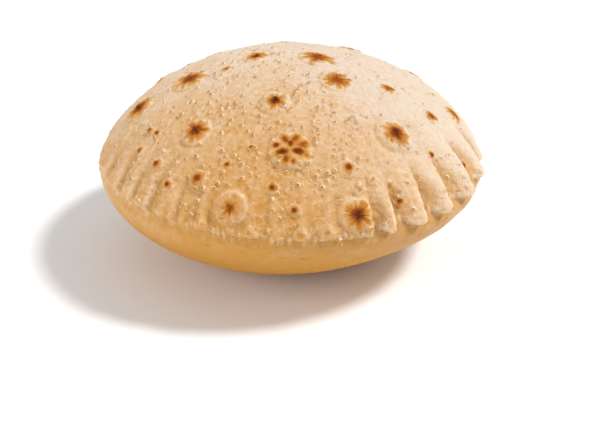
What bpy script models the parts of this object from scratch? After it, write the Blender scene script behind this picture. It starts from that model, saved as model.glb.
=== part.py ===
# Puffed chapati: a round of thin flatbread blown up by its own steam into a closed cushion.
# The upper face is a full dome with toasted blisters, the lower face is a smooth bowl, and the
# two meet in a pinched seam that is drawn into puckers. The origin is under the middle, on the
# flat spot that the bread rests on. Sizes are in millimetres and degrees until the mesh is made.

import math

import bmesh
import bpy
from mathutils import Vector

MM = 0.001

# The smooth body. Each half's section is a superellipse: at a fullness of 2 it is an ellipse,
# and below 2 it is drawn in towards the crown and the seam.
RADIUS = 90.0
DOME_HEIGHT = 52.4
DOME_FULLNESS = 1.74
BOWL_DEPTH = 49.5
BOWL_FULLNESS = 1.53

# The underside is flat where the bread's own weight presses it down.
REST_LEVEL = -40.5
REST_ROUNDING = 3.0

# The bowl has slumped a little to one side, fully so from this far below the seam.
SLUMP = -4.0
SLUMP_DEPTH = 30.0

# The seam wanders up and down a little above the widest ring.
SEAM_RISE = 3.0
SEAM_WAVE = 1.6
SEAM_WAVES = 2
SEAM_LOWEST_AT = -50.0

# A narrow groove runs along the seam under the crests.
GROOVE_DEPTH = 0.9
GROOVE_REACH = 1.2

# Pleats: lobes side by side above the seam, each between two valleys. One run of them is large,
# like toes, and lies between these azimuths. The others share the rest of the ring nearly
# evenly: their valleys wander by a few degrees, as a wave that turns by so much at each valley.
TOE_EDGES = (-68.5, -62, -52, -42, -28.5, -14.5, -2, 8, 19.5, 28.5, 41, 50, 61, 73, 82, 92, 101)
EVEN_LOBES = 22
LOBE_WANDER = 0.9
WANDER_TURN = 97.0

# Each zone is the azimuth of its middle, its half width, the valleys' depth, their reach up the
# side and how far the crests lean over. A zone fades out over a third of its half width, and
# the valleys over this share of their reach.
TOES = (-38.5, 37.0, 5.2, 18.0, 1.0)
PLEAT_ZONES = (
    TOES,
    (52.0, 64.0, 2.4, 16.0, 0.45),
    (-143.0, 28.0, 1.9, 22.0, 0.3),
    (-96.0, 26.0, 0.7, 12.0, 0.0),
    (150.0, 34.0, 1.6, 16.0, 0.3),
)
ZONE_FADE = 1.0 / 3.0
VALLEY_FADE = 0.7

# A crest without any lean, how blunt crests are, and the share of a pleat that stands proud.
UPRIGHT = 1.2
CREST_ROUNDING = 0.7
PLEAT_PROUD = 0.38

# Pleats end in a rounded lip. The bowl below it is drawn in by a share of the pleats' depth.
LIP_REACH = 2.6
LIP_SWELL = 0.5
TOE_SWELL = 0.5
SWELL_REACH = 6.0
TOE_SCALLOP = 4.2
RECESS = 0.22
RECESS_REACH = 15.0

# Raised blisters: azimuth, degrees down from the crown, radius and height. Their sides slope
# over this share of the radius, around a level top.
BLISTER_SIDE = 0.8
BLISTERS = (
    (-90, 50.5, 10.5, 2.1),
    (-50.5, 50, 10.0, 2.3),
    (-98, 33, 9.0, 1.7),
    (-54, 25, 8.5, 0.7),
    (-32, 11.5, 9.0, 0.5),
    (-161, 13, 7.0, 0.6),
    (-165, 34, 9.5, 1.0),
    (-168, 52.5, 9.0, 1.3),
    (-126.5, 48, 9.0, 1.8),
    (-105.5, 72, 8.5, 1.7),
    (-73, 75, 9.0, 2.3),
    (93, 22, 7.0, 0.6),
    (142, 33, 7.0, 0.7),
    (161, 49, 7.5, 0.8),
    (-7, 58, 6.5, 0.7),
    (22, 48, 6.5, 0.8),
    (72, 58, 9.0, 1.7),
    (108, 44, 9.5, 1.8),
    (128, 68, 8.0, 1.4),
    (50, 33, 8.0, 1.2),
)

# The mesh: rings this far apart in latitude, with points this far apart along a ring.
RING_STEP = 3.1
BOWL_STEP = 3.9
SEAM_STEP = 2.6
POINT_STEP = 4.7
POINTS_PER_LOBE = 6
EVEN_LATITUDE = 24.0

CRUST = (0.72, 0.47, 0.24, 1.0)
CRUST_ROUGHNESS = 0.62


def smooth(share):
    """Eases from 0 to 1, level at both ends."""
    share = min(max(share, 0.0), 1.0)
    return share * share * (3.0 - 2.0 * share)


def section(latitude):
    """Distance from the axis and height of the smooth body, and its outward direction there."""
    upper = latitude >= 0.0
    height = DOME_HEIGHT if upper else BOWL_DEPTH
    fullness = DOME_FULLNESS if upper else BOWL_FULLNESS
    side = 1.0 if upper else -1.0
    across = math.cos(math.radians(latitude)) ** (2.0 / fullness)
    along = math.sin(math.radians(abs(latitude))) ** (2.0 / fullness)
    out = across ** (fullness - 1.0) / RADIUS
    up = along ** (fullness - 1.0) / height
    length = math.hypot(out, up)
    return RADIUS * across, side * height * along, out / length, side * up / length


def latitude_at(height):
    """Latitude at which the dome's section reaches a height."""
    return math.degrees(math.asin((height / DOME_HEIGHT) ** (DOME_FULLNESS / 2.0)))


def wander(valley):
    """How far a valley is off its even place."""
    return LOBE_WANDER * math.sin(math.radians(WANDER_TURN * (valley - 1)))


def even_edges():
    """Azimuths of the valleys beyond the toes, up to the first toe's edge one turn on."""
    start, end = TOE_EDGES[-1], TOE_EDGES[0] + 360.0
    step = (end - start) / EVEN_LOBES
    inner = [start + step * i + wander(i) for i in range(1, EVEN_LOBES)]
    return (*inner, end)


LOBE_EDGES = TOE_EDGES + even_edges()
LOBES = len(LOBE_EDGES) - 1


def lobe_azimuth(lobe):
    """Azimuth at a place counted in lobes, whole numbers being the valleys."""
    whole = min(int(lobe), LOBES - 1)
    low, high = LOBE_EDGES[whole], LOBE_EDGES[whole + 1]
    return low + (high - low) * (lobe - whole)


def zone_share(zone, azimuth):
    """1 inside a zone of pleats, fading to 0 at its ends."""
    middle, half_width = zone[:2]
    away = abs((azimuth - middle + 180.0) % 360.0 - 180.0)
    return smooth((1.0 - away / half_width) / ZONE_FADE)


def crest(azimuth, lobe):
    """0 in a valley and 1 on a crest, which leans over where the toes are."""
    lean = UPRIGHT + sum(zone[4] * zone_share(zone, azimuth) for zone in PLEAT_ZONES)
    return abs(math.sin(math.pi * (lobe % 1.0) ** lean)) ** CREST_ROUNDING


def pleat_depth(azimuth, rise):
    """Depth of the valleys at a height above the seam."""
    depth = 0.0
    for zone in PLEAT_ZONES:
        fading = smooth((1.0 - rise / zone[3]) / VALLEY_FADE)
        depth += zone[2] * zone_share(zone, azimuth) * fading
    return depth


def seam_height(azimuth, lobe):
    """The seam's height. Under the toes it is scalloped, and lowest under the crests."""
    swing = math.cos(math.radians(SEAM_WAVES * (azimuth - SEAM_LOWEST_AT)))
    scallop = TOE_SCALLOP * zone_share(TOES, azimuth) * (1.0 - crest(azimuth, lobe))
    return SEAM_RISE - SEAM_WAVE * swing + scallop


def fold_at(azimuth, lobe, rise):
    """How far pleats, lip and recess move the surface out at a height above the seam."""
    ridge = crest(azimuth, lobe)
    toes = zone_share(TOES, azimuth)
    depth = pleat_depth(azimuth, max(rise, 0.0))
    groove = GROOVE_DEPTH * ridge * max(0.0, 1.0 - abs(rise) / GROOVE_REACH)
    if rise < 0.0:
        return -RECESS * depth * smooth(1.0 + rise / RECESS_REACH) - groove
    lip = math.sqrt(1.0 - (1.0 - min(rise / LIP_REACH, 1.0)) ** 2)
    pleat = depth * (ridge - 1.0 + PLEAT_PROUD)
    swell = (LIP_SWELL + TOE_SWELL * toes * ridge) * math.sin(math.pi * min(rise / SWELL_REACH, 1.0))
    return pleat * lip - RECESS * depth * (1.0 - lip) + swell - groove


def place(latitude, azimuth, outward=0.0):
    """A point of the body, moved outwards from its smooth surface."""
    radius, height, out, up = section(latitude)
    radius += outward * out
    turn = math.radians(azimuth)
    return Vector((radius * math.cos(turn), radius * math.sin(turn), height + outward * up))


BLISTER_PLACES = [
    (place(90.0 - down, azimuth), radius, height)
    for azimuth, down, radius, height in BLISTERS
]


def blister_at(point):
    """How far the blisters raise the surface near a point."""
    raised = 0.0
    for middle, radius, height in BLISTER_PLACES:
        near = 1.0 - (point - middle).length / radius
        if near > 0.0:
            raised = max(raised, height * smooth(near / BLISTER_SIDE))
    return raised


def crust_point(latitude, lobe):
    """A point of the finished surface. Both halves' rings are crowded to meet at the seam."""
    azimuth = lobe_azimuth(lobe)
    seam = seam_height(azimuth, lobe)
    start = latitude_at(seam)
    span = 90.0 - start if latitude >= 0.0 else 90.0 + start
    latitude = start + latitude * span / 90.0
    height = section(latitude)[1]
    outward = blister_at(place(latitude, azimuth)) + fold_at(azimuth, lobe, height - seam)
    point = place(latitude, azimuth, outward)
    point.x += SLUMP * smooth(-height / SLUMP_DEPTH)
    point.z = rest_level(point.z)
    return point


def rest_level(height):
    """Heights near the underside's lowest part, pressed flat with a rounded edge."""
    above = height - REST_LEVEL
    if above >= REST_ROUNDING:
        return height
    pressed = max(above + REST_ROUNDING, 0.0)
    return REST_LEVEL + pressed * pressed / (4.0 * REST_ROUNDING)


def ring_latitudes():
    """Latitudes of the rings from the crown down to the rest, counted from the seam."""
    dome = [SEAM_STEP]
    while dome[-1] < 90.0 - 1.5 * RING_STEP:
        dome.append(dome[-1] + RING_STEP)
    bowl = [-SEAM_STEP]
    while bowl[-1] > -90.0 + 2.5 * BOWL_STEP:
        bowl.append(bowl[-1] - BOWL_STEP)
    return dome[::-1] + [0.0] + bowl


def add_ring(mesh, latitude):
    """One ring of points. Near the seam it has the same few points on every lobe."""
    count = LOBES * POINTS_PER_LOBE
    if latitude > EVEN_LATITUDE or latitude < -SEAM_STEP:
        around = 2.0 * math.pi * section(latitude)[0]
        count = min(count, max(6, round(around / POINT_STEP)))
    return [mesh.verts.new(crust_point(latitude, LOBES * i / count)) for i in range(count)]


def join_rings(mesh, upper, lower):
    """Fills the band between two rings, which may differ in their number of points."""
    i = j = 0
    while i < len(upper) or j < len(lower):
        a, b = upper[i % len(upper)], lower[j % len(lower)]
        if (i + 1) * len(lower) <= (j + 1) * len(upper):
            i += 1
            mesh.faces.new((a, b, upper[i % len(upper)]))
        else:
            j += 1
            mesh.faces.new((a, b, lower[j % len(lower)]))


def close_ring(mesh, ring, height):
    """Fans a ring to a point at its middle."""
    middle = mesh.verts.new((0.0, 0.0, height))
    for a, b in zip(ring, ring[1:] + ring[:1]):
        mesh.faces.new((a, b, middle))


def stand_on_origin(mesh):
    """Moves the bread so that its box stands on the origin, and turns millimetres to metres."""
    points = [vert.co for vert in mesh.verts]
    low = Vector([min(point[axis] for point in points) for axis in range(3)])
    high = Vector([max(point[axis] for point in points) for axis in range(3)])
    foot = Vector(((low.x + high.x) / 2.0, (low.y + high.y) / 2.0, low.z))
    for vert in mesh.verts:
        vert.co = (vert.co - foot) * MM


def crust_material():
    material = bpy.data.materials.new("baked_crust")
    material.use_nodes = True
    shader = material.node_tree.nodes["Principled BSDF"]
    shader.inputs["Base Color"].default_value = CRUST
    shader.inputs["Roughness"].default_value = CRUST_ROUGHNESS
    shader.inputs["Metallic"].default_value = 0.0
    material.diffuse_color = CRUST
    return material


def make_chapati():
    mesh = bmesh.new()
    rings = [add_ring(mesh, latitude) for latitude in ring_latitudes()]
    for upper, lower in zip(rings, rings[1:]):
        join_rings(mesh, upper, lower)
    close_ring(mesh, rings[0], DOME_HEIGHT)
    close_ring(mesh, rings[-1], REST_LEVEL)
    bmesh.ops.recalc_face_normals(mesh, faces=mesh.faces)
    stand_on_origin(mesh)

    data = bpy.data.meshes.new("chapati")
    mesh.to_mesh(data)
    mesh.free()
    data.shade_smooth()
    data.materials.append(crust_material())
    bread = bpy.data.objects.new("chapati", data)
    bpy.context.scene.collection.objects.link(bread)


for leftover in list(bpy.data.objects):
    bpy.data.objects.remove(leftover)
make_chapati()
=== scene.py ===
import math
from types import SimpleNamespace

import bpy
import numpy as np
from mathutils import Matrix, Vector


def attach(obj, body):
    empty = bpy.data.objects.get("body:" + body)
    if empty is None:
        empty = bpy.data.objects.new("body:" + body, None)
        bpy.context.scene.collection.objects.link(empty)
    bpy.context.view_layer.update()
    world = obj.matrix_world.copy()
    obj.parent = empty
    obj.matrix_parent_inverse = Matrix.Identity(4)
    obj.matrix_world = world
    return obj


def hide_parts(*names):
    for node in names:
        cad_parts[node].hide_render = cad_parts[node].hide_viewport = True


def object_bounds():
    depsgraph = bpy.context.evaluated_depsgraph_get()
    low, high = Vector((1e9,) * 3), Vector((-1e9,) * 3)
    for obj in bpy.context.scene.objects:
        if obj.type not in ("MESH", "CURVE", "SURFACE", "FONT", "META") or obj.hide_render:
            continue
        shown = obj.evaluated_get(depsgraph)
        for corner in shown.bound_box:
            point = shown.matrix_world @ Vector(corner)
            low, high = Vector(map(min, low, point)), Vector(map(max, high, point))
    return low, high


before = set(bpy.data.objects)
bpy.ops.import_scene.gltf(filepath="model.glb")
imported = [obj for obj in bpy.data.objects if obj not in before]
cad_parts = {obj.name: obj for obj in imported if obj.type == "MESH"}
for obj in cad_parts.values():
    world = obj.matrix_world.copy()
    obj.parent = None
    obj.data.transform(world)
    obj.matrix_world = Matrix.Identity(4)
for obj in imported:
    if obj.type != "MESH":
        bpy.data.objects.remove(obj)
cadLow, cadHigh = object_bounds()
print("frame loaded, box", [round(v * 1000, 1) for v in cadHigh - cadLow], "mm")

scene = bpy.context.scene
rng = np.random.default_rng(41)

# the bread's form, in millimetres and degrees, the same as the solid's
bread = {
    "radius": 90.0,
    "domeHeight": 52.4,
    "domeFullness": 1.74,   # 2 would be an ellipse, less is drawn in towards crown and seam
    "bowlDepth": 49.5,
    "bowlFullness": 1.53,
    "restLevel": -40.5,
    "restRounding": 3.0,
    "slump": -4.0,
    "slumpDepth": 30.0,
    "seamRise": 3.0,
    "seamWave": 1.6,
    "seamLowestAt": -50.0,
    "toeScallop": 4.2,      # how much higher the seam is in a toe's valley than under its crest
    "zoneFade": 3.0,        # a pleated zone fades out over the last third of its half width
    "valleyFade": 1.4,
    "upright": 1.2,         # a crest without any lean
    "crestBluntness": 0.7,  # less is blunter
    "backAt": 78.0,         # round here crests are softer
    "backReach": 88.0,
    "backSoftness": 0.5,
    "toeProud": 0.38,       # share of a toe's depth that stands proud of the smooth body
    "lipReach": 2.6,
    "lipSwell": 0.4,
    "toeSwell": 0.5,
    "swellReach": 6.0,
    "recess": 0.22,         # the bowl under the toes, as a share of their depth
    "recessReach": 15.0,
    "settledAt": -2.0,      # round here toes lie flatter
    "settledReach": 24.0,
    "grooveDepth": 0.7,     # the seam's groove, deeper under toes
    "toeGroove": 0.5,
    "inset": 0.5,           # the crust lies this far in, to leave room for its pimples
    "domeRing": 0.66,       # spacing of the fine mesh above the seam
    "domePoint": 0.76,
    "bowlRing": 1.2,
    "bowlPoint": 1.3,
    "scatteredDots": 44,    # small dotted blisters placed at random, and how far apart they stay
    "dotsApart": 11.0,
}

# azimuths between the large pleats that look like toes, the other lobes being even
toeEdges = [-68.5, -62, -52, -42, -28.5, -14.5, -2, 8, 19.5, 28.5, 41, 50, 61, 73, 82, 92, 101]
evenLobes = 22

# pleated zones, the toes first: azimuth of the middle, half width, depth, reach up the side, lean
pleatZones = [
    (-38.5, 37, 5.2, 18, 1.0),
    (52, 64, 2.4, 16, 0.45),
    (-143, 28, 2.8, 22, 0.3),
    (-96, 26, 0.7, 12, 0.0),
    (150, 34, 1.6, 16, 0.3),
]

# low standing ridges up the front: azimuth and height
frontRidges = [
    (-124, 1.1), (-118, 0.9), (-112, 1.5), (-99, 1.3), (-93, 1.6), (-86, 1.3), (-79, 1.4), (-69.5, 1.6),
]


def smooth(share):
    share = np.clip(share, 0.0, 1.0)
    return share * share * (3.0 - 2.0 * share)


def fading(distance, reach, steepness=1.0):
    # 1 close by and 0 at the reach, level for longer where the slope between them is steeper
    return smooth(steepness * (1.0 - distance / reach))


def hump(value, middle, width):
    return np.exp(-((value - middle) / width) ** 2)


def section(latitude):
    # radius, height and outward direction of the smooth body
    upper = latitude >= 0.0
    height = np.where(upper, bread["domeHeight"], bread["bowlDepth"])
    fullness = np.where(upper, bread["domeFullness"], bread["bowlFullness"])
    side = np.where(upper, 1.0, -1.0)
    turn = np.radians(np.abs(latitude))
    across = np.cos(turn).clip(0.0) ** (2.0 / fullness)
    along = np.sin(turn) ** (2.0 / fullness)
    out = across ** (fullness - 1.0) / bread["radius"]
    up = along ** (fullness - 1.0) / height
    length = np.hypot(out, up)
    return bread["radius"] * across, side * height * along, out / length, side * up / length


def onBody(latitude, azimuth):
    # points of the smooth body and their outward directions
    radius, height, out, up = section(np.asarray(latitude, float))
    c, s = np.cos(np.radians(azimuth)), np.sin(np.radians(azimuth))
    return np.stack([radius * c, radius * s, height], -1), np.stack([out * c, out * s, up], -1)


def latitudeAt(height):
    return np.degrees(np.arcsin((height / bread["domeHeight"]) ** (bread["domeFullness"] / 2)))


def away(azimuth, middle):
    return np.abs((azimuth - middle + 180.0) % 360.0 - 180.0)


def ownShare(lobe, seed):
    # a value from 0 to 1 of each pleat's own
    return np.abs(np.sin((np.floor(lobe) + 1.0) * seed)) % 1.0


def lobeAt(azimuth):
    # place along the ring counted in lobes, the whole numbers being the valleys
    start, end = toeEdges[0], toeEdges[-1]
    even = np.linspace(end, start + 360.0, evenLobes + 1)[1:]
    even[:-1] += 0.9 * np.sin(1.7 * np.arange(evenLobes - 1))     # these valleys wander a little
    edges = np.concatenate([toeEdges, even])
    return np.interp((azimuth - start) % 360.0 + start, edges, np.arange(len(edges)))


def zoneShare(azimuth, middle, halfWidth):
    return fading(away(azimuth, middle), halfWidth, bread["zoneFade"])


def toeShare(azimuth):
    return zoneShare(azimuth, *pleatZones[0][:2])


def pleats(azimuth, rise):
    # depth and lean of the pleats at a place
    deep, lean = 0.0, bread["upright"]
    for middle, halfWidth, depth, reach, leaning in pleatZones:
        share = zoneShare(azimuth, middle, halfWidth)
        deep = deep + depth * share * fading(rise, reach, bread["valleyFade"])
        lean = lean + leaning * share
    return deep, lean


def crestOf(acrossLobe, lean, azimuth):
    # 0 in a valley and 1 on a crest, which leans to one side where the pleats do
    back = fading(away(azimuth, bread["backAt"]), bread["backReach"], 1.6)
    bluntness = bread["crestBluntness"] + bread["backSoftness"] * back
    return np.clip(np.sin(math.pi * acrossLobe ** lean), 0.0, 1.0) ** bluntness


def seamHeight(azimuth):
    swing = np.cos(np.radians(2.0 * (azimuth - bread["seamLowestAt"])))
    crest = crestOf(lobeAt(azimuth) % 1.0, pleats(azimuth, 0.0)[1], azimuth)
    scallop = bread["toeScallop"] * toeShare(azimuth) * (1.0 - crest)
    return bread["seamRise"] - bread["seamWave"] * swing + scallop


def arcTable(sign):
    # latitudes at even steps and the distance walked from the seam
    latitude = np.linspace(0.0, 90.0, 1801) * sign
    radius, height, _, _ = section(latitude)
    walked = np.concatenate([[0.0], np.cumsum(np.hypot(np.diff(radius), np.diff(height)))])
    return np.abs(latitude), walked


def ringLatitudes(sign, step):
    latitude, walked = arcTable(sign)
    count = round(walked[-1] / step)
    return np.interp(np.arange(1, count) * walked[-1] / count, walked, latitude) * sign


# toasted blisters: azimuth, degrees down from the crown, blister radius and height, toasted
# radius, how dark, how far it is split into petals, petals, turn
toasted = [
    (-90, 50.5, 9.4, 2.1, 6.6, 0.85, 1.00, -1, 0.10),     # its petals are apartPetals
    (-50.5, 50, 8.8, 2.1, 5.5, 1.15, 0.25, 9, 0.70),
    (-98, 33, 7.2, 1.5, 3.9, 1.00, 0.35, 10, 0.30),
    (-54, 25, 8.2, 0.5, 6.3, 0.40, 0.55, 8, 0.50),
    (-32, 11.5, 8.6, 0.4, 7.6, 0.55, 0.80, 6, 0.20),
    (-161, 13, 6.4, 0.5, 4.6, 1.00, 0.20, 7, 0.60),
    (-165, 34, 9.0, 0.9, 7.4, 0.75, 0.75, 7, 0.90),
    (-168, 52.5, 8.4, 1.2, 6.4, 0.95, 0.10, 9, 0.40),
    (-126.5, 48, 7.6, 1.7, 5.1, 0.85, 0.35, 8, 0.15),
    (-105.5, 72, 7.8, 1.6, 3.4, 0.60, 0.40, 8, 0.80),
    (-73, 75, 7.8, 2.1, 4.7, 0.90, 0.60, 8, 0.55),
    (93, 22, 6.0, 0.5, 4.2, 0.90, 0.30, 8, 0.35),
    (142, 33, 6.4, 0.6, 4.4, 0.80, 0.30, 8, 0.65),
    (161, 49, 7.0, 0.7, 5.4, 0.85, 0.35, 8, 0.05),
    (-7, 58, 6.0, 0.6, 4.6, 0.60, 0.30, 8, 0.45),
    (-24.5, 50.5, 4.0, 0.6, 3.0, 0.60, 0.30, 7, 0.75),
    (-28, 35, 4.0, 0.4, 3.0, 0.40, 0.30, 7, 0.25),
    (22, 48, 6.0, 0.7, 4.2, 0.60, 0.40, 8, 0.85),
    (72, 58, 8.2, 1.6, 6.4, 0.85, 0.60, 8, 0.10),
    (108, 44, 8.8, 1.7, 7.0, 0.90, 0.90, 7, 0.60),
    (128, 68, 7.2, 1.3, 4.8, 0.75, 0.40, 9, 0.40),
    (50, 33, 7.4, 1.1, 5.4, 0.80, 0.40, 8, 0.95),
    (-75, 152, 7.0, 0.4, 5.6, 0.85, 0.50, 8, 0.20),       # and on the underside
    (25, 140, 7.5, 0.5, 5.4, 0.90, 0.45, 9, 0.55),
    (100, 126, 8.0, 0.6, 6.2, 0.80, 0.55, 8, 0.70),
    (168, 134, 7.0, 0.5, 5.0, 0.95, 0.35, 8, 0.30),
    (-160, 160, 6.0, 0.3, 4.6, 0.80, 0.40, 7, 0.85),
    (60, 167, 7.0, 0.3, 6.0, 0.95, 0.65, 8, 0.05),
    (-135, 147, 6.5, 0.4, 4.4, 0.75, 0.30, 8, 0.65),
    (130, 150, 8.0, 0.4, 6.4, 0.90, 0.80, 7, 0.45),
    (-30, 155, 6.0, 0.3, 4.2, 0.70, 0.35, 9, 0.15),
    (65, 136, 6.5, 0.5, 4.8, 0.85, 0.40, 8, 0.35),
    (-8, 122, 6.0, 0.4, 4.0, 0.60, 0.30, 8, 0.75),
]

# the largest blister's petals stand apart: right and up from its middle, half length, half
# width, turn in degrees and how dark, the first four in shares of its toasted radius
apartPetals = [
    (-0.30, 0.66, 0.44, 0.24, 118, 0.50), (0.30, 0.70, 0.46, 0.27, 62, 0.44),
    (0.02, 0.36, 0.26, 0.30, 0, 0.80), (-0.80, 0.26, 0.26, 0.18, 10, 0.66),
    (0.74, 0.28, 0.42, 0.26, 22, 0.40), (-0.46, -0.22, 0.50, 0.27, 12, 1.10),
    (0.46, -0.18, 0.50, 0.28, -12, 1.05), (0.90, -0.38, 0.24, 0.17, -30, 0.25),
    (-0.24, -0.68, 0.34, 0.24, 72, 0.40), (0.18, -0.82, 0.20, 0.17, 80, 0.30),
]

# small round blisters with one brown dot: azimuth, degrees down, blister and dot radius
dotted = [
    (-144, 61.5, 3.0, 2.1), (-133, 63, 3.3, 2.6), (-125, 68.5, 2.9, 1.9), (-117, 63.5, 4.2, 3.1),
    (-109.5, 57, 2.8, 1.8), (-95, 63.5, 3.2, 2.1), (-89, 71.5, 3.0, 2.1), (-72.5, 58, 4.4, 2.5),
    (-59.5, 73, 2.8, 1.8), (-41, 61, 3.0, 2.0), (-147, 54, 2.4, 1.7), (-143, 53.5, 2.4, 1.7),
    (-103.5, 50, 2.1, 1.3), (-87.5, 82, 3.3, 1.2), (-81, 81, 3.6, 1.1), (-100, 81, 2.9, 1.0),
    (-71, 66, 3.0, 0.9), (-66, 63, 2.8, 0.9), (-61, 66, 2.6, 1.0),
]


def blisterMiddle(azimuth, down):
    return onBody(90.0 - down, azimuth)[0]


def scatteredDots():
    # more small dotted blisters where there is room, mostly round the back and below
    places = [blisterMiddle(azimuth, down) for azimuth, down, *_ in toasted + dotted]
    made = []
    while len(made) < bread["scatteredDots"]:
        azimuth, down = rng.uniform(0, 360), math.degrees(math.acos(1 - rng.uniform(0.03, 1.95)))
        inFront = away(azimuth, -90.0) < 60.0
        if (inFront and 25 < down < 140) or 82 < down < 100:
            continue
        point = blisterMiddle(azimuth, down)
        if min(np.linalg.norm(point - place) for place in places) > bread["dotsApart"]:
            places.append(point)
            made.append((azimuth, down, rng.uniform(1.9, 3.2), rng.uniform(1.1, 2.0)))
    return made


def seamCrimps():
    # upright crimps pressed along the seam, clearest in front and on the toes' lips, each with its
    # middle, half width, length over width and height
    made = []
    azimuth = 0.0
    while azimuth < 360.0:
        clear = 0.55 * fading(away(azimuth, -88.0), 40.0, 2.0) + 0.45 * toeShare(azimuth)
        rise = seamHeight(azimuth) + rng.uniform(0.6, 1.4) + 3.5 * rng.uniform(0, 1) ** 3
        middle = onBody(latitudeAt(rise), azimuth)[0]
        tall = rng.uniform(1.1, 2.6)
        made.append((middle, rng.uniform(0.8, 1.25), tall, rng.uniform(0.15, 0.45) + float(clear)))
        azimuth += rng.uniform(0.9, 2.2)
    return made


def raiseRound(points, heights, middle, radius, height, plateau, tall=1.0):
    # one raised round: a plain swell, or flat on top with steeper sides where plateau is 1
    near = np.flatnonzero(np.abs(points - middle).max(1) < radius * tall)
    delta = points[near] - middle
    delta[:, 2] /= tall
    inner = 1.0 - np.linalg.norm(delta, axis=1) / radius
    flatTop = 0.66 * smooth(3.6 * inner) + 0.34 * smooth(1.2 * inner)
    swell = plateau * flatTop + (1.0 - plateau) * smooth(1.3 * inner)
    heights[near] = np.maximum(heights[near], height * swell)


def measure(latitude, azimuth):
    # the smooth body's points, and where each lies between seam, valleys and crests
    seam = seamHeight(azimuth)
    seamLatitude = latitudeAt(seam)
    side = np.where(latitude >= 0.0, 90.0 - seamLatitude, 90.0 + seamLatitude)
    points, outward = onBody(seamLatitude + latitude * side / 90.0, azimuth)
    rise = points[:, 2] - seam
    climb = np.maximum(rise, 0.0)
    lobe, toes = lobeAt(azimuth), toeShare(azimuth)
    acrossLobe = lobe % 1.0
    deep, lean = pleats(azimuth, climb / (0.85 + 0.4 * ownShare(lobe, 12.9)))
    tipTurn = 1.0 + 0.10 * toes * np.exp(-climb / 2.5)     # toes turn a little at their tips
    crest = crestOf(np.clip(acrossLobe * tipTurn, 0.0, 1.0), lean, azimuth)
    lip = np.sqrt(1.0 - (1.0 - np.clip(rise / bread["lipReach"], 0.0, 1.0)) ** 2)
    return SimpleNamespace(points=points, outward=outward, azimuth=azimuth, rise=rise, above=rise >= -0.001,
                           acrossLobe=acrossLobe, toes=toes, deep=deep, crest=crest, lip=lip)


def pleatRelief(at):
    # pleats with their lips, the bowl drawn in below them, and the groove along the seam
    settled = fading(away(at.azimuth, bread["settledAt"]), bread["settledReach"], 1.6)
    pleat = at.deep * (at.crest - 1.0 + bread["toeProud"] * (1.0 - 0.8 * settled))
    recess = at.deep * bread["recess"] * (1.0 - 0.5 * settled)
    below = smooth(1.0 + np.minimum(at.rise, 0.0) / bread["recessReach"])
    relief = np.where(at.above, -recess * (1.0 - at.lip) + pleat * at.lip, -recess * below)
    swell = bread["lipSwell"] + bread["toeSwell"] * at.toes * at.crest
    swell *= np.sin(math.pi * np.clip(at.rise / bread["swellReach"], 0.0, 1.0))
    groove = (bread["grooveDepth"] + bread["toeGroove"] * at.toes) * (0.25 + 0.75 * at.crest)
    return relief + np.where(at.above, swell, 0.0) - groove * hump(at.rise, 0.0, np.where(at.above, 0.8, 2.4))


def ridgeRelief(at):
    # low ridges up the front, which sway a little
    ridges = np.zeros(len(at.points))
    sway = 1.2 * np.sin(at.rise / 6.0)
    for middle, height in frontRidges:
        ridges += height * fading(away(at.azimuth + sway, middle), 1.9)
    return np.where(at.above, ridges * fading(at.rise, 26.0, 1.6) * at.lip, 0.0)


def unevenness(points):
    x, y, z = points.T
    broad = 0.28 * np.sin(x / 17.0 + 1.0) * np.cos(y / 21.0 + z / 16.0)
    return broad + 0.16 * np.sin(x / 7.5 + y / 9.0) * np.cos(y / 6.5 - z / 8.0 + 2.0)


def blisterRelief(points):
    raised = np.zeros(len(points))
    for azimuth, down, radius, height, *_ in toasted:
        raiseRound(points, raised, blisterMiddle(azimuth, down), radius, height, 1.0)
    for azimuth, down, radius, _ in dotted:
        steep = 0.16 if 0.0 < azimuth < 180.0 else 0.36     # low where they would nick the outline
        raiseRound(points, raised, blisterMiddle(azimuth, down), radius, steep * radius, 0.6)
    return raised


def blisterRims(points):
    # a painted highlight on each blister's rim at its upper right, and painted golden shade beyond its lower
    # left
    rimHighlight, lowerLeftShade = np.zeros(len(points)), np.zeros(len(points))
    for azimuth, down, radius, *_ in toasted + dotted:
        delta = (points - blisterMiddle(azimuth, down)) / radius
        inner = 1.0 - np.linalg.norm(delta, axis=1)
        facing = smooth(0.5 + 0.6 * delta @ np.array([0.65, 0.0, 0.75]))
        rimHighlight = np.maximum(rimHighlight, (0.04 + 0.52 * facing) * hump(inner, 0.19, 0.10))
        lowerLeftShade = np.maximum(lowerLeftShade, 2.4 * (1.0 - facing) * hump(inner, 0.02, 0.12))
    return rimHighlight, lowerLeftShade


def paintedHighlightOn(at, crimps, ridges, rimHighlight):
    # painted highlight on the pleats' far edges and crests, the lips, the crimps, ridges and rims
    edge = hump(at.acrossLobe, 0.84, 0.11) * np.clip((at.deep - 1.6) / 2.4, 0.0, 1.0)
    crests = 0.34 * at.toes * at.crest * fading(at.rise, 30.0, 2.0)
    lips = (0.14 + 0.80 * at.toes * smooth(1.6 * at.crest)) * hump(at.rise, 1.8, 1.2)
    aboveSeam = np.max([edge, crests, lips, 0.60 * crimps], axis=0)
    return np.max([np.where(at.above, aboveSeam, 0.0), rimHighlight, 0.14 * ridges], axis=0)


def setDown(placed, points):
    # the bowl slumps to one side and is pressed flat where it rests
    placed[:, 0] += bread["slump"] * smooth(-points[:, 2] / bread["slumpDepth"])
    level = placed[:, 2] - bread["restLevel"]
    pressed = np.maximum(level + bread["restRounding"], 0.0) ** 2 / (4.0 * bread["restRounding"])
    placed[:, 2] = np.where(level < bread["restRounding"], bread["restLevel"] + pressed, placed[:, 2])


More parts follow.
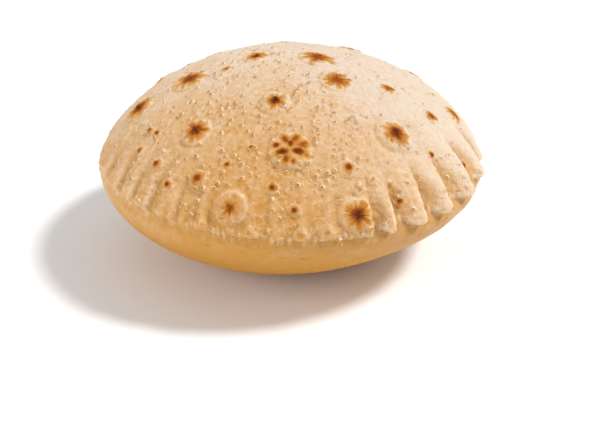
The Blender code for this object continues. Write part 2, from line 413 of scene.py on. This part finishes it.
def makeForm(latitude, azimuth):
    # the smooth body's points, the finished ones, and the measures that the colours follow
    at = measure(latitude, azimuth)
    ridges = ridgeRelief(at)
    blister = blisterRelief(at.points)
    rimHighlight, lowerLeftShade = blisterRims(at.points)
    raised = blister.copy()
    for middle, radius, tall, height in seamCrimps():
        raiseRound(at.points, raised, middle, radius, height, 0.3, tall)
    relief = pleatRelief(at) + ridges + unevenness(at.points) + raised - bread["inset"]
    placed = at.points + at.outward * relief[:, None]
    setDown(placed, at.points)
    # painted shade: golden in the pleats' valleys, under the toes' lips and beyond each blister's lower left
    under = (0.2 + 0.8 * at.toes) * (0.25 + 0.75 * smooth(1.0 + np.minimum(at.rise, 0.0) / 7.0))
    valley = np.maximum(at.deep * np.where(at.rise < 0.4, under, 1.0 - at.crest), lowerLeftShade)
    flour = paintedHighlightOn(at, raised - blister, ridges, rimHighlight)
    return at.points, placed, {"rise": at.rise, "valley": valley, "blister": blister, "flour": flour}


def toastedSpots():
    # each spot: middle, its two measuring directions, reach and look
    dots = [(azimuth, down, 0, 0, reach, 0.55 if reach > 1.25 else -0.25, 0.0, 0, azimuth * 0.37 % 1.0)
            for azimuth, down, _, reach in dotted]
    spots = []
    for azimuth, down, _, _, reach, *look in toasted + dots:
        middle = blisterMiddle(azimuth, down)
        t = math.radians(azimuth)
        right = np.array([-math.sin(t), math.cos(t), 0.0])
        upward = blisterMiddle(azimuth, down - 0.5) - middle
        upward /= np.linalg.norm(upward)
        spots.append((middle, right / reach, upward / reach, reach, look))
    return spots


def toastPlaces(points):
    # where each point lies in its nearest toasted spot, and how that spot looks
    place = np.full((len(points), 3), 9.0)
    place[:, 2] = 0.0
    look = np.zeros((len(points), 4))
    nearest = np.full(len(points), 1.5)
    for middle, along, across, reach, spotLook in toastedSpots():
        delta = points - middle
        u, v = delta @ along, delta @ across
        far = np.hypot(u, v)
        far[np.linalg.norm(delta, axis=1) > 1.8 * reach] = 9.0
        near = np.flatnonzero(far < nearest)
        nearest[near] = far[near]
        place[near] = np.stack([u[near], v[near], smooth((1.5 - far[near]) / 0.25)], -1)
        look[near] = spotLook
    return {"toastPlace": place, "toastLook": look[:, :3], "toastTurn": look[:, 3]}


def makeRings():
    # the points' latitudes and azimuths, ring by ring, and the seam's place among the rings
    dome = ringLatitudes(1, bread["domeRing"])[::-1]
    bowl = ringLatitudes(-1, bread["bowlRing"])
    latitude, azimuth, rings = [], [], []
    for ring in np.concatenate([dome, [0.0], bowl]):
        spacing = bread["domePoint"] if ring >= 0 else bread["bowlPoint"]
        count = max(8, round(2.0 * math.pi * float(section(np.asarray(ring))[0]) / spacing))
        start = rings[-1].stop if rings else 0
        rings.append(range(start, start + count))
        latitude.append(np.full(count, ring))
        azimuth.append(np.arange(count) * 360.0 / count)
    return np.concatenate(latitude), np.concatenate(azimuth), rings, len(dome)


def joinRings(upper, lower):
    # triangles of the band between two rings of points, given as ranges of indices
    up, low = len(upper), len(lower)
    faces, i, j = [], 0, 0
    while i < up or j < low:
        a, b = upper[i % up], lower[j % low]
        if (i + 1) * low <= (j + 1) * up:
            i += 1
            faces.append((a, b, upper[i % up]))
        else:
            j += 1
            faces.append((a, b, lower[j % low]))
    return faces


# the dome and the bowl each lie on the UV map as a disc: its middle and radius
uvDiscs = {"dome": (0.372, 0.628, 0.365), "bowl": (0.790, 0.208, 0.200)}


def flatMap(latitude, azimuth, sign, disc):
    # lays the dome or the bowl out by distance walked from the seam, with the two poles last
    right, up, radius = disc
    table, walked = arcTable(sign)
    toMiddle = 1.0 - np.interp(np.abs(latitude), table, walked) / walked[-1]
    t = np.radians(azimuth)
    laid = np.stack([right + radius * toMiddle * np.cos(t) * sign, up + radius * toMiddle * np.sin(t)], -1)
    return np.vstack([laid, (right, up), (right, up)])


def makeMesh():
    latitude, azimuth, rings, seamRing = makeRings()
    points, placed, measures = makeForm(latitude, azimuth)
    top, bottom = len(placed), len(placed) + 1
    first, last = rings[0], rings[-1]
    bands = [joinRings(upper, lower) for upper, lower in zip(rings, rings[1:])]
    domeFaces = sum(bands[:seamRing], []) + [(a, b, top) for a, b in zip(first, [*first[1:], first[0]])]
    bowlFaces = sum(bands[seamRing:], []) + [(b, a, bottom) for a, b in zip(last, [*last[1:], last[0]])]
    placed = np.vstack([placed, [0, 0, placed[first, 2].mean()], [bread["slump"], 0, bread["restLevel"]]])

    low, high = placed.min(0), placed.max(0)
    foot = np.array([(low[0] + high[0]) / 2, (low[1] + high[1]) / 2, low[2]])
    cadFoot = np.array([(cadLow.x + cadHigh.x) / 2, (cadLow.y + cadHigh.y) / 2, cadLow.z])
    placed = (placed - foot) / 1000.0 + cadFoot

    mesh = bpy.data.meshes.new("chapatiCrust")
    mesh.from_pydata(placed.tolist(), [], domeFaces + bowlFaces)
    for name, values in {**toastPlaces(points), **measures}.items():
        isVector = values.ndim > 1
        attribute = mesh.attributes.new(name, "FLOAT_VECTOR" if isVector else "FLOAT", "POINT")
        withPoles = np.concatenate([values, values[[0, -1]]])
        attribute.data.foreach_set("vector" if isVector else "value", withPoles.ravel())

    corners = np.empty(len(mesh.loops), np.int32)
    mesh.loops.foreach_get("vertex_index", corners)
    domeMap = flatMap(latitude, azimuth, 1, uvDiscs["dome"])
    bowlMap = flatMap(latitude, azimuth, -1, uvDiscs["bowl"])
    onDome = np.arange(len(corners)) < 3 * len(domeFaces)
    uv = np.where(onDome[:, None], domeMap[corners], bowlMap[corners])
    mesh.uv_layers.new(name="OFBake").data.foreach_set("uv", uv.ravel())
    mesh.shade_smooth()
    print("crust mesh", len(mesh.polygons), "triangles")
    return mesh, foot


def nodeTools(tree):
    # short ways to add nodes to a tree and wire them
    def add(kind, **settings):
        made = tree.nodes.new(kind)
        for key, value in settings.items():
            setattr(made, key, value)
        return made

    def put(socket, value):
        if isinstance(value, bpy.types.NodeSocket):
            tree.links.new(value, socket)
        elif value is not None:
            socket.default_value = (*value, 1.0) if socket.type == "RGBA" else value

    def maths(operation, a, b=None, c=None):
        made = add("ShaderNodeMath", operation=operation)
        for socket, value in zip(made.inputs, (a, b, c)):
            put(socket, value)
        return made.outputs[0]

    def plus(first, *others):
        for other in others:
            first = maths("ADD", first, other)
        return first

    def times(first, *others):
        for other in others:
            first = maths("MULTIPLY", first, other)
        return first

    def vector(operation, a, b=None, scale=None):
        made = add("ShaderNodeVectorMath", operation=operation)
        put(made.inputs[0], a)
        put(made.inputs[1], b)
        if scale is not None:
            put(made.inputs["Scale"], scale)
        return made.outputs["Value" if operation in ("LENGTH", "DOT_PRODUCT") else "Vector"]

    def remap(value, low, high, toLow=0.0, toHigh=1.0, kind="SMOOTHSTEP"):
        made = add("ShaderNodeMapRange", interpolation_type=kind)
        for name, given in (("Value", value), ("From Min", low), ("From Max", high),
                            ("To Min", toLow), ("To Max", toHigh)):
            put(made.inputs[name], given)
        return made.outputs["Result"]

    def noise(place, scale, detail=3.0, roughness=0.5, distortion=0.0):
        made = add("ShaderNodeTexNoise", noise_dimensions="3D")
        for name, given in (("Vector", place), ("Scale", scale), ("Detail", detail),
                            ("Roughness", roughness), ("Distortion", distortion)):
            put(made.inputs[name], given)
        return made.outputs[0]

    def mix(share, a, b):
        made = add("ShaderNodeMix", data_type="RGBA")
        put(made.inputs["Factor"], share)
        colours = [socket for socket in made.inputs if socket.type == "RGBA"]
        put(colours[0], a)
        put(colours[1], b)
        return next(socket for socket in made.outputs if socket.type == "RGBA")

    def join(x, y, z=0.0):
        made = add("ShaderNodeCombineXYZ")
        for socket, value in zip(made.inputs, (x, y, z)):
            put(socket, value)
        return made.outputs[0]

    def apart(value):
        made = add("ShaderNodeSeparateXYZ")
        put(made.inputs[0], value)
        return made.outputs

    def attribute(name, output="Fac"):
        return add("ShaderNodeAttribute", attribute_name=name).outputs[output]

    return SimpleNamespace(add=add, put=put, maths=maths, plus=plus, times=times, vector=vector, remap=remap,
                           noise=noise, mix=mix, join=join, apart=apart, attribute=attribute)


# sizes in metres
pimples = {
    "Spacing": 0.0022,
    "Density": 220000.0,      # most of them for each square metre
    "Radius": 0.0010,
    "Height": 0.00080,
    "Smallest": 0.4,          # as shares of that radius and height
    "Largest": 1.35,
    "Wrinkle Size": 0.0034,
    "Wrinkle Height": 0.00220,
    "Seed": 7,
}


def pimpleRoughness(n, across, depth):
    # one side is smoother, and so is the back
    return n.times(n.remap(across, 0.065, 0.020, 0.50, 1.0),
                   n.remap(depth, 0.045, -0.025, 0.40, 1.0),
                   n.remap(across, -0.086, -0.066, 0.45, 1.0))


def pimpleCrowding(n, position, across, depth):
    # they come in patches, most of all in the middle of the front
    return n.times(n.remap(n.noise(position, 48.0, 1.0), 0.39, 0.57, 0.16, 1.0),
                   n.remap(across, -0.062, -0.008, 0.30, 1.0),
                   n.remap(across, 0.020, 0.055, 1.0, 0.22),
                   n.remap(depth, -0.025, 0.025, 1.0, 0.40))


def pimpleTree():
    # scatters pimples over the crust and wrinkles it
    tree = bpy.data.node_groups.new("pimpledCrust", "GeometryNodeTree")
    tree.interface.new_socket("Geometry", in_out="INPUT", socket_type="NodeSocketGeometry")
    for name in pimples:
        kind = "NodeSocketInt" if name == "Seed" else "NodeSocketFloat"
        tree.interface.new_socket(name, in_out="INPUT", socket_type=kind)
    tree.interface.new_socket("Crust", in_out="INPUT", socket_type="NodeSocketMaterial")
    tree.interface.new_socket("Geometry", in_out="OUTPUT", socket_type="NodeSocketGeometry")
    n = nodeTools(tree)

    def named(name):
        made = n.add("GeometryNodeInputNamedAttribute", data_type="FLOAT")
        made.inputs["Name"].default_value = name
        return made.outputs["Attribute"]

    def stored(geometry, name, value, kind="FLOAT"):
        made = n.add("GeometryNodeStoreNamedAttribute", data_type=kind, domain="POINT")
        made.inputs["Name"].default_value = name
        n.put(made.inputs["Geometry"], geometry)
        n.put(made.inputs["Value"], value)
        return made.outputs["Geometry"]

    given = n.add("NodeGroupInput").outputs
    position = n.add("GeometryNodeInputPosition").outputs[0]
    normal = n.add("GeometryNodeInputNormal").outputs[0]
    across, depth, level = n.apart(position)
    aboveSeam = n.times(n.remap(named("rise"), -5.0, 3.0), n.remap(level, 0.002, 0.014))
    rough = pimpleRoughness(n, across, depth)

    scatter = n.add("GeometryNodeDistributePointsOnFaces", distribute_method="POISSON")
    n.put(scatter.inputs["Mesh"], given["Geometry"])
    n.put(scatter.inputs["Distance Min"], given["Spacing"])
    n.put(scatter.inputs["Density Max"], given["Density"])
    n.put(scatter.inputs["Density Factor"], n.times(aboveSeam, pimpleCrowding(n, position, across, depth)))
    n.put(scatter.inputs["Seed"], given["Seed"])
    size = n.add("FunctionNodeRandomValue", data_type="FLOAT")
    lowest, highest = [socket for socket in size.inputs if socket.type == "VALUE"][:2]
    n.put(lowest, given["Smallest"])
    n.put(highest, given["Largest"])
    n.put(size.inputs["Seed"], given["Seed"])
    sizes = next(socket for socket in size.outputs if socket.type == "VALUE")
    spots = stored(scatter.outputs["Points"], "pimpleSize", sizes)

    # each point of the crust looks up the pimple nearest to it
    nearest = n.add("GeometryNodeSampleNearest", domain="POINT")
    n.put(nearest.inputs["Geometry"], spots)
    n.put(nearest.inputs["Sample Position"], position)

    def lookUp(value, kind):
        made = n.add("GeometryNodeSampleIndex", data_type=kind, domain="POINT")
        n.put(made.inputs["Geometry"], spots)
        n.put(made.inputs["Value"], value)
        n.put(made.inputs["Index"], nearest.outputs["Index"])
        return made.outputs["Value"]

    middle = lookUp(n.add("GeometryNodeInputPosition").outputs[0], "FLOAT_VECTOR")
    scale = lookUp(named("pimpleSize"), "FLOAT")
    perReach = n.maths("DIVIDE", 1.0, n.times(given["Radius"], scale))
    local = n.vector("SCALE", n.vector("SUBTRACT", position, middle), scale=perReach)
    far = n.vector("LENGTH", local)
    near = n.maths("LESS_THAN", far, 1.2)
    elsewhere = n.maths("MULTIPLY_ADD", near, -9.0, 9.0)
    place = n.vector("ADD", n.vector("SCALE", local, scale=near), elsewhere)
    raised = n.times(n.remap(far, 1.25, 0.2), rough, given["Height"], scale)
    tone = n.times(n.remap(far, 2.4, 1.6), n.maths("FRACT", n.times(scale, 57.0)), rough)

    # leathery wrinkles, hardly any on the smooth bowl
    ripple = n.noise(position, n.maths("DIVIDE", 1.0, given["Wrinkle Size"]), 3.0, 0.55, 0.7)
    wrinkle = n.times(n.maths("SUBTRACT", ripple, 0.5), rough, given["Wrinkle Height"], aboveSeam)

    kept = stored(given["Geometry"], "pimplePlace", place, "FLOAT_VECTOR")
    kept = stored(kept, "pimpleTone", tone)
    move = n.add("GeometryNodeSetPosition")
    n.put(move.inputs["Geometry"], kept)
    n.put(move.inputs["Offset"], n.vector("SCALE", normal, scale=n.plus(raised, wrinkle)))
    real = n.add("GeometryNodeRealizeInstances")
    n.put(real.inputs["Geometry"], move.outputs["Geometry"])
    paint = n.add("GeometryNodeSetMaterial")
    n.put(paint.inputs["Geometry"], real.outputs["Geometry"])
    n.put(paint.inputs["Material"], given["Crust"])
    n.put(n.add("NodeGroupOutput").inputs["Geometry"], paint.outputs["Geometry"])
    return tree


crust = {
    # baked and toasted tones, and those of the painted highlights and shade
    "pale": (0.660, 0.534, 0.416),
    "tan": (0.618, 0.398, 0.214),
    "golden": (0.545, 0.276, 0.068),
    "honey": (0.510, 0.226, 0.034),
    "orange": (0.500, 0.200, 0.026),
    "brown": (0.255, 0.055, 0.004),
    "char": (0.070, 0.014, 0.004),
    "flour": (0.830, 0.660, 0.480),
    "cream": (0.880, 0.650, 0.400),
    "umber": (0.360, 0.145, 0.024),
    "hollow": (0.310, 0.115, 0.018),
    # how strongly each mark shows
    "valleys": 0.74,
    "blisters": 0.13,
    "flecks": 0.35,
    "pimpleLight": 0.80,
    "pimpleWarm": 0.60,
    "pimpleTips": 0.42,
    "skin": 0.42,
    "blotches": 0.22,
    "dusting": 0.24,
    "freckles": 0.70,
    # heights of the finest relief, in millimetres
    "wrinkles": 1.20,
    "grain": 0.22,
    "pimple": 0.34,
    "dimple": 0.36,
    "toastPits": 0.25,
    # cells for each metre of the noises that break up the tones, from broad to fine
    "broadCells": 30.0,
    "blotchCells": 85.0,
    "middlingCells": 150.0,
    "freckleCells": 300.0,
    "skinCells": 430.0,
    "flourCells": 620.0,
    "toastCells": 800.0,
    "grainCells": 1300.0,
    # how much paler it is for each metre up, to the right and away from the front, partly its baking and
    # partly painted light from the upper right
    "paleUp": 9.0,
    "paleRight": 7.2,
    "paleAway": 7.2,
    "flourFrom": (0.62, 0.10, 0.72),     # the light whose highlight and shade are painted on each pimple
    # the surface
    "roughness": 0.60,
    "specular": 0.12,
    "subsurface": 0.30,
    "subsurfaceRadius": (0.003, 0.0012, 0.0005),
}


def readSpot(n, grain):
    # where a point lies in its toasted spot, and how that spot looks
    u, v, inSpot = n.apart(n.attribute("toastPlace", "Vector"))
    dark, split, petals = n.apart(n.attribute("toastLook", "Vector"))
    turn = n.attribute("toastTurn")
    far = n.maths("SQRT", n.plus(n.times(u, u), n.times(v, v)))
    within = n.maths("MAXIMUM", far, 0.05)
    compass = n.join(n.maths("DIVIDE", u, within), n.maths("DIVIDE", v, within), n.times(turn, 40.0))
    return SimpleNamespace(u=u, v=v, inSpot=inSpot, dark=dark, split=split, petals=petals, turn=turn, far=far,
                           compass=compass, streak=n.noise(compass, 2.6, 1.5),
                           ragged=n.maths("MULTIPLY_ADD", grain, 0.6, -0.3))


def toastedStar(n, spot):
    # a ring of petals, each with its own length and darkness
    wobble = n.maths("SUBTRACT", n.noise(spot.compass, 1.5, 1.0), 0.5)
    angle = n.maths("DIVIDE", n.maths("ARCTAN2", spot.v, spot.u), 2.0 * math.pi)
    phase = n.plus(n.times(spot.petals, n.plus(angle, spot.turn)), n.times(wobble, 1.6))
    leaf = n.maths("ABSOLUTE", n.maths("SINE", n.times(phase, math.pi)))
    random = n.add("ShaderNodeTexWhiteNoise", noise_dimensions="3D")
    petal = n.maths("FLOORED_MODULO", n.maths("FLOOR", phase), spot.petals)
    n.put(random.inputs["Vector"], n.join(petal, n.times(spot.turn, 17.0)))
    length, shade, _ = n.apart(random.outputs["Color"])
    reach = n.times(leaf, n.maths("MULTIPLY_ADD", length, 0.34, -0.10))
    gap = n.times(n.maths("POWER", n.maths("SUBTRACT", 1.0, leaf), 1.3),
                  n.remap(spot.split, 0.0, 1.0, 0.08, 0.60, "LINEAR"))
    edge = n.plus(n.maths("SUBTRACT", n.plus(reach, 1.14), gap), spot.ragged)
    body = n.remap(n.maths("SUBTRACT", edge, spot.far), -0.16, 0.60)
    core = n.times(n.remap(spot.far, 0.75, 0.05), spot.dark, n.maths("MULTIPLY_ADD", shade, 0.35, 0.42))
    return n.times(body, n.plus(n.maths("MULTIPLY_ADD", spot.streak, 0.60, 0.06), core))


def toastedPetals(n, spot):
    # petals that stand apart, each a soft oval
    together = 0.0
    streak = n.maths("MULTIPLY_ADD", spot.streak, 0.40, 0.16)
    for right, up, halfLength, halfWidth, degrees, petalDark in apartPetals:
        c, s = math.cos(math.radians(degrees)), math.sin(math.radians(degrees))
        u, v = n.maths("SUBTRACT", spot.u, right), n.maths("SUBTRACT", spot.v, up)
        along = n.plus(n.times(u, c / halfLength), n.times(v, s / halfLength))
        across = n.plus(n.times(v, c / halfWidth), n.times(u, -s / halfWidth))
        oval = n.maths("SQRT", n.plus(n.times(along, along), n.times(across, across)))
        oval = n.maths("SUBTRACT", oval, n.times(spot.ragged, 0.8))
        tone = n.plus(streak, n.times(n.remap(oval, 1.05, 0.15), 0.56 * petalDark))
        together = n.maths("MAXIMUM", together, n.times(n.remap(oval, 1.75, 0.35), tone))
    return together


def toastedDot(n, spot):
    # round, brown in the middle and orange at its rim
    middle = n.times(n.remap(spot.far, 0.75, 0.10), spot.dark, 0.70)
    body = n.remap(n.maths("SUBTRACT", spot.far, spot.ragged), 1.25, 0.20)
    return n.times(body, n.plus(n.maths("MULTIPLY_ADD", spot.streak, 0.25, 0.26), middle))


def toastShare(n, grain):
    # the count of petals tells the kinds of spot apart: stars have some, dots 0, the largest -1
    spot = readSpot(n, grain)
    star = n.times(toastedStar(n, spot), n.maths("GREATER_THAN", spot.petals, 0.5))
    dot = n.times(toastedDot(n, spot), n.maths("COMPARE", spot.petals, 0.0, 0.5))
    largest = n.times(toastedPetals(n, spot), n.maths("LESS_THAN", spot.petals, -0.5))
    return n.times(n.plus(star, dot, largest), spot.inSpot)


def bakedAndLitPaleness(n, place, rise, middling):
    # paler up, to the right and behind, more golden low and in front: partly uneven baking, partly painted
    # light and shade from a key light at the upper right
    x, y, z = n.apart(place)
    toRight = n.times(n.maths("MAXIMUM", x, n.times(x, 0.3)), n.remap(rise, -8.0, 2.0, 0.7, 1.0))
    back = n.maths("MAXIMUM", n.maths("SUBTRACT", y, 0.035), 0.0)
    left = n.maths("MINIMUM", n.maths("MAXIMUM", n.maths("SUBTRACT", -0.02, x), 0.0), 0.035)
    return n.plus(n.times(toRight, crust["paleRight"]), n.times(z, crust["paleUp"]),
                  n.times(n.maths("MULTIPLY_ADD", back, -2.4, y), crust["paleAway"]),
                  n.times(left, n.remap(z, 0.080, 0.055, 0.0, 4.8)),
                  n.maths("MULTIPLY_ADD", n.noise(place, crust["broadCells"]), 0.5, -0.25),
                  n.maths("MULTIPLY_ADD", middling, 0.8, -0.27))


def crustMaterial():
    material = bpy.data.materials.new("bakedCrust")
    material.use_nodes = True
    material.node_tree.nodes.clear()
    n = nodeTools(material.node_tree)
    place = n.add("ShaderNodeTexCoord").outputs["Object"]
    grain = n.noise(place, crust["toastCells"], 2.0)
    middling = n.noise(place, crust["middlingCells"], 4.0, 0.6)
    fine = n.noise(place, crust["flourCells"], 3.0, 0.6)
    skin = n.noise(place, crust["skinCells"], 4.0, 0.6, 0.5)
    rise = n.attribute("rise")
    toast = toastShare(n, grain)
    paleness = bakedAndLitPaleness(n, place, rise, middling)
    warmth = n.remap(paleness, 0.40, 0.85, 1.0, 0.20)

    # painted highlight on the side of each pimple's ring that faces the light, and painted golden shade on
    # the other side
    tipPlace, tipTone = n.attribute("pimplePlace", "Vector"), n.attribute("pimpleTone")
    tipFar = n.vector("LENGTH", tipPlace)
    slope = n.vector("DOT_PRODUCT", tipPlace, crust["flourFrom"])
    facing = n.maths("DIVIDE", slope, n.maths("MAXIMUM", tipFar, 0.05))
    ring = n.times(n.remap(tipFar, 1.15, 0.80), n.remap(tipFar, 0.30, 0.60))
    hole = n.remap(tipFar, 0.56, 0.20)
    tip = n.times(hole, n.remap(tipTone, 0.78, 0.98), crust["pimpleTips"])
    browned = n.maths("MAXIMUM", toast, tip)

    x, y, _ = n.apart(place)
    patches = n.noise(place, crust["blotchCells"], 3.0, 0.6)
    blotch = n.times(n.remap(patches, 0.46, 0.68), n.remap(rise, 1.0, -3.0))
    # honey low on the bowl in front and to the left: partly the bowl's own baking, partly painted shade on
    # the side away from the key light
    low = n.times(n.remap(rise, -3.0, -20.0), n.remap(y, 0.03, -0.03, 0.3, 0.8),
                  n.remap(x, 0.01, 0.06, 1.0, 0.0))
    # paler on the wrinkles' tops, a painted highlight
    dusting = n.times(n.remap(skin, 0.52, 0.66), n.remap(rise, -1.0, 2.0))
    flatter = n.vector("MULTIPLY", place, (0.6, 0.6, 1.6))
    freckle = n.remap(n.noise(flatter, crust["freckleCells"], 1.0), 0.705, 0.79)

    # from the dough's own tone up, each layer with its share and its tone
    colour = crust["tan"]
    for share, tone in (
        # the next two: partly uneven baking, partly painted light and shade from the upper right
        (n.remap(paleness, 0.45, 0.95, kind="LINEAR"), "pale"),
        (n.remap(paleness, 0.42, -0.03, kind="LINEAR"), "golden"),
        # painted shade in the valleys, under the lips and beyond the blisters' lower left
        (n.times(n.remap(n.attribute("valley"), 0.5, 2.8), crust["valleys"]), "golden"),
        (n.times(n.remap(n.attribute("blister"), 0.1, 0.9), crust["blisters"]), "pale"),
        (n.times(n.remap(fine, 0.50, 0.70), warmth, crust["flecks"]), "golden"),
        # painted highlight and shade on each pimple's ring
        (n.times(ring, n.remap(facing, -0.1, 0.6), crust["pimpleLight"]), "cream"),
        (n.times(ring, n.remap(facing, 0.1, -0.6), crust["pimpleWarm"]), "golden"),
        # painted shade in the wrinkles' hollows
        (n.times(n.remap(skin, 0.50, 0.34), warmth, crust["skin"]), "golden"),
        (n.times(blotch, crust["blotches"]), "tan"),
        # painted shade low on the bowl, partly its own baking
        (low, "honey"),
        # painted highlight on the wrinkles' tops
        (n.times(dusting, crust["dusting"]), "flour"),
        (n.times(freckle, crust["freckles"]), "umber"),
        # painted highlight on the pleats' edges and crests, the lips, crimps, ridges and blister rims
        (n.times(n.attribute("flour"), n.remap(fine, 0.35, 0.55, 0.35, 0.85)), "flour"),
        # painted shade in each pimple's pit
        (n.times(hole, n.remap(tipTone, 0.0, 0.7, 0.20, 0.85)), "hollow"),
        (n.remap(browned, 0.00, 0.14, 0.0, 0.8), "golden"),
        (n.remap(browned, 0.08, 0.34), "orange"),
        (n.remap(browned, 0.28, 0.62), "brown"),
        (n.remap(browned, 0.62, 1.00), "char"),
    ):
        colour = n.mix(share, colour, crust[tone])

    bump = n.add("ShaderNodeBump")
    bump.inputs["Strength"].default_value = 1.0
    bump.inputs["Distance"].default_value = 0.001
    n.put(bump.inputs["Height"], n.plus(
        n.times(skin, crust["wrinkles"]),
        n.times(n.noise(place, crust["grainCells"], 2.0), crust["grain"]),
        n.times(n.remap(tipFar, 1.1, 0.35), crust["pimple"]),
        n.times(n.remap(tipFar, 0.62, 0.15), -crust["dimple"]),
        n.times(toast, grain, -crust["toastPits"])))

    shader = n.add("ShaderNodeBsdfPrincipled")
    n.put(shader.inputs["Base Color"], colour)
    n.put(shader.inputs["Roughness"], n.maths("MULTIPLY_ADD", middling, 0.16, crust["roughness"]))
    n.put(shader.inputs["Normal"], bump.outputs["Normal"])
    shader.inputs["Specular IOR Level"].default_value = crust["specular"]
    shader.inputs["Subsurface Weight"].default_value = crust["subsurface"]
    shader.inputs["Subsurface Radius"].default_value = crust["subsurfaceRadius"]
    shader.inputs["Subsurface Scale"].default_value = 1.0
    output = n.add("ShaderNodeOutputMaterial")
    n.put(output.inputs["Surface"], shader.outputs["BSDF"])
    return material


def addPimples(piece, material):
    tree = pimpleTree()
    modifier = piece.modifiers.new("pimples", "NODES")
    modifier.node_group = tree
    values = {**pimples, "Crust": material}
    for item in tree.interface.items_tree:
        if item.in_out == "INPUT" and item.name in values:
            modifier[item.identifier] = values[item.name]
    graph = bpy.context.evaluated_depsgraph_get()
    finished = bpy.data.meshes.new_from_object(piece.evaluated_get(graph), depsgraph=graph)
    piece.modifiers.remove(modifier)
    piece.data = finished
    corners = np.empty(3 * len(finished.vertices))
    finished.vertices.foreach_get("co", corners)
    inside = np.clip(corners.reshape(-1, 3), cadLow, cadHigh)      # no pimple leaves the solid's box
    finished.vertices.foreach_set("co", inside.ravel())
    finished.shade_smooth()
    print("pimples added,", len(finished.polygons), "triangles")


dotted += scatteredDots()
crustMesh, formFoot = makeMesh()
chapati = bpy.data.objects.new("chapatiCrust", crustMesh)
scene.collection.objects.link(chapati)
addPimples(chapati, crustMaterial())
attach(chapati, "root")
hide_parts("chapati")


studio = {
    "floor": (0.90, 0.90, 0.90),
    "floorReach": 6.0,
    "world": 0.52,
    "lens": 50.0,
    "elevation": 27.5,
    "distance": 0.392,         # from the camera to the middle of the seam, along the view
    "rightOfMiddle": -0.0018,
    "aboveMiddle": 0.0307,
}

# lamps: strength, softness in degrees, and the direction that the light comes from
lamps = {
    "key": (2.90, 12, (0.58, -0.02, 0.75)),
    "fill": (1.68, 50, (-0.82, -0.48, 0.30)),
}


def makeFloor():
    reach = studio["floorReach"]
    mesh = bpy.data.meshes.new("floor")
    mesh.from_pydata([(-reach, -reach, 0), (reach, -reach, 0), (reach, reach, 0), (-reach, reach, 0)],
                     [], [(0, 1, 2, 3)])
    floor = bpy.data.objects.new("floor", mesh)
    floor.location.z = cadLow.z
    scene.collection.objects.link(floor)
    material = bpy.data.materials.new("paleFloor")
    material.use_nodes = True
    shader = material.node_tree.nodes["Principled BSDF"]
    shader.inputs["Base Color"].default_value = (*studio["floor"], 1.0)
    shader.inputs["Roughness"].default_value = 0.7
    mesh.materials.append(material)


def makeLamp(name, strength, softness, direction):
    light = bpy.data.lights.new(name, "SUN")
    light.energy = strength
    light.angle = math.radians(softness)
    lamp = bpy.data.objects.new(name, light)
    lamp.location = direction
    lamp.rotation_euler = Vector(direction).to_track_quat("Z", "Y").to_euler()
    scene.collection.objects.link(lamp)


def makeWorld():
    world = bpy.data.worlds.new("studio")
    world.use_nodes = True
    background = world.node_tree.nodes["Background"]
    background.inputs["Color"].default_value = (1.0, 1.0, 1.0, 1.0)
    background.inputs["Strength"].default_value = studio["world"]
    scene.world = world
    scene.view_settings.view_transform = "Standard"


def makeCamera():
    camera = bpy.data.objects.new("camera", bpy.data.cameras.new("camera"))
    camera.data.lens = studio["lens"]
    camera.data.sensor_width = 36.0
    tilt = math.radians(studio["elevation"])
    forward = Vector((0.0, math.cos(tilt), -math.sin(tilt)))
    upward = Vector((0.0, math.sin(tilt), math.cos(tilt)))
    seamMiddle = -Vector(formFoot) / 1000.0
    camera.location = (seamMiddle - forward * studio["distance"] - upward * studio["aboveMiddle"]
                       - Vector((studio["rightOfMiddle"], 0.0, 0.0)))
    camera.rotation_euler = (math.pi / 2 - tilt, 0.0, 0.0)
    scene.collection.objects.link(camera)
    scene.camera = camera


makeFloor()
makeWorld()
for name, (strength, softness, direction) in lamps.items():
    makeLamp(name, strength, softness, direction)
makeCamera()
print("studio ready")
